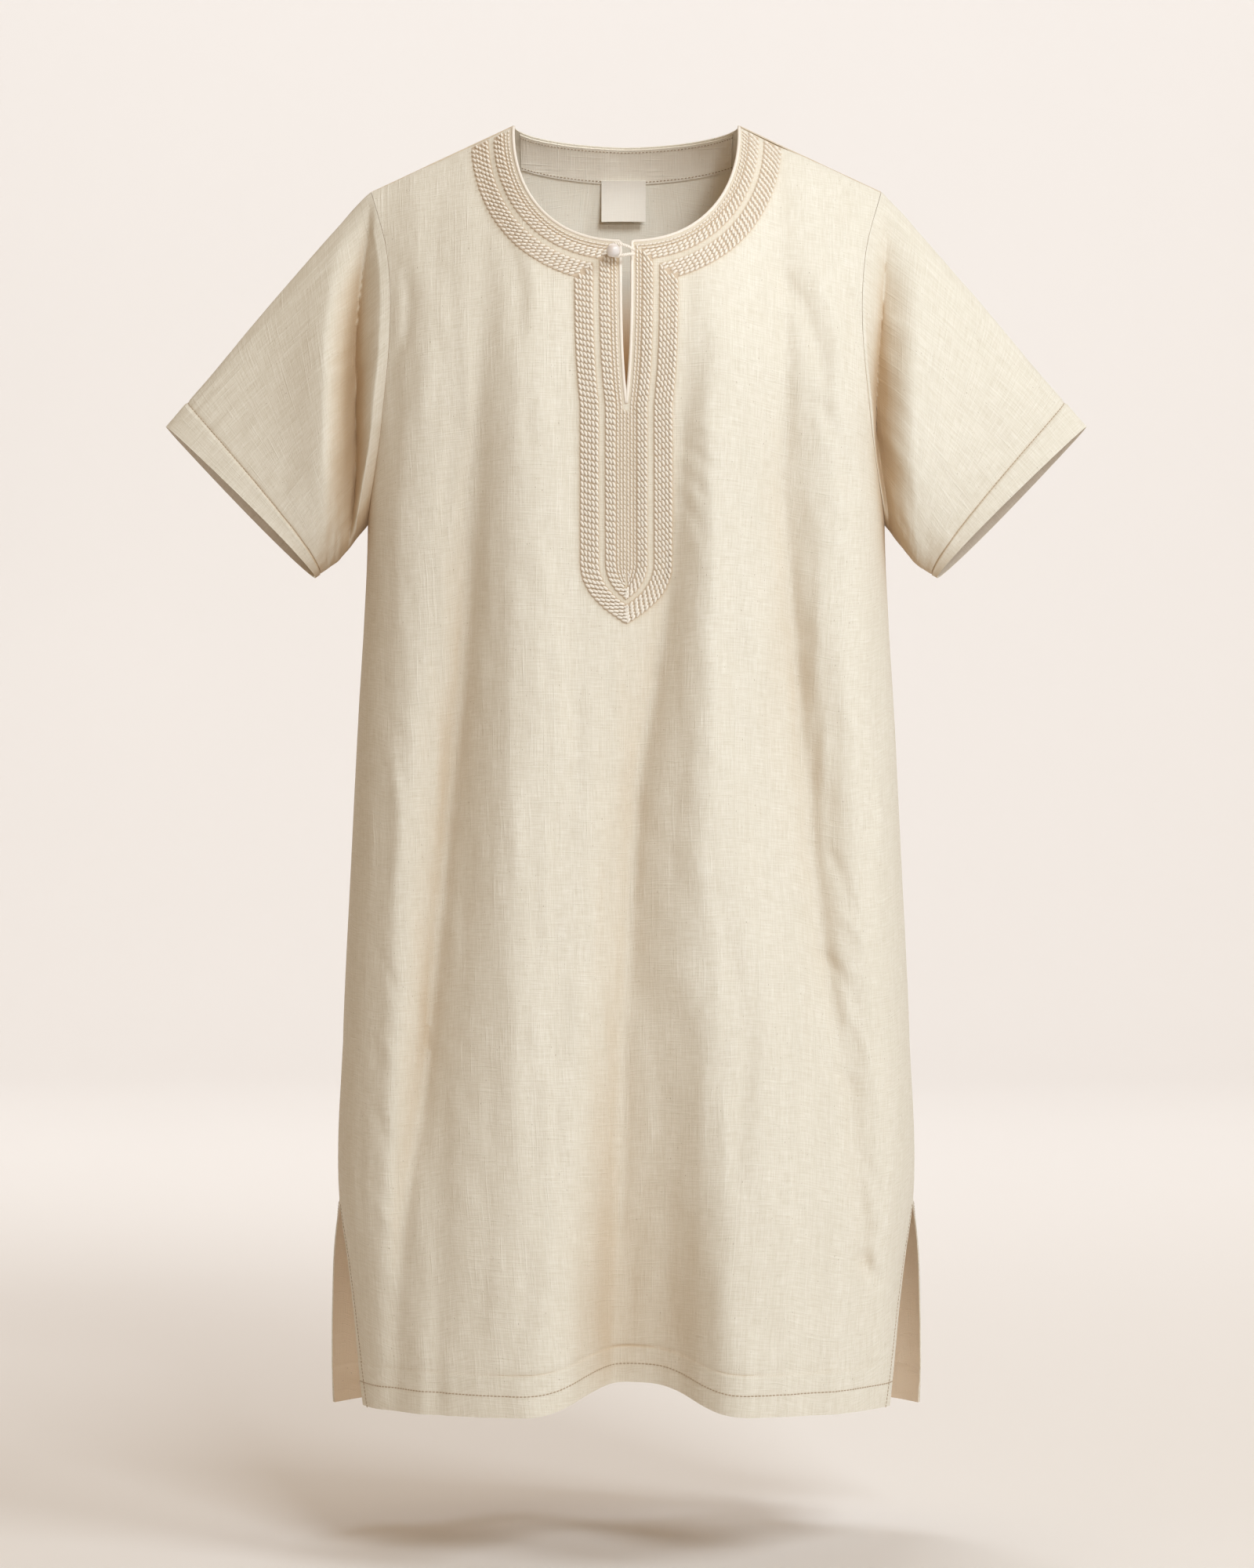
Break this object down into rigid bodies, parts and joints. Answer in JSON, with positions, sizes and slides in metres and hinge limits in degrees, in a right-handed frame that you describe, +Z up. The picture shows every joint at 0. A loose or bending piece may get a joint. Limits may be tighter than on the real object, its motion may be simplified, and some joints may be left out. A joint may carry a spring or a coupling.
{
  "type": "gandoura",
  "caption": "Short-sleeved, knee-length linen gandoura, filled out, with a round neck, buttoned slit, raised embroidered bands and side vents.",
  "frame": {"origin": "where the wearer's shoulders carry the garment, midway between the two shoulder seams", "axes": "+Z up, +X to the viewer's right when the viewer looks at the front, -Y out of the front"},
  "size_m": [0.7524, 0.3268, 1.0525],
  "materials": {
    "linen": "plain-woven undyed linen",
    "facing": "plain-woven undyed linen",
    "label": "smooth blank woven tape",
    "embroidery": "raised cream thread stitches",
    "button": "pearly, softly glossy"
  },
  "bodies": {
    "root": {"front": "linen", "back": "linen", "sleeve_left": "linen", "sleeve_right": "linen", "back_neck_facing": "facing", "neck_label": "label", "embroidery_outer_band": "embroidery", "embroidery_inner_band": "embroidery", "button_loop": "embroidery", "button": "button"}
  },
  "joints": []
}
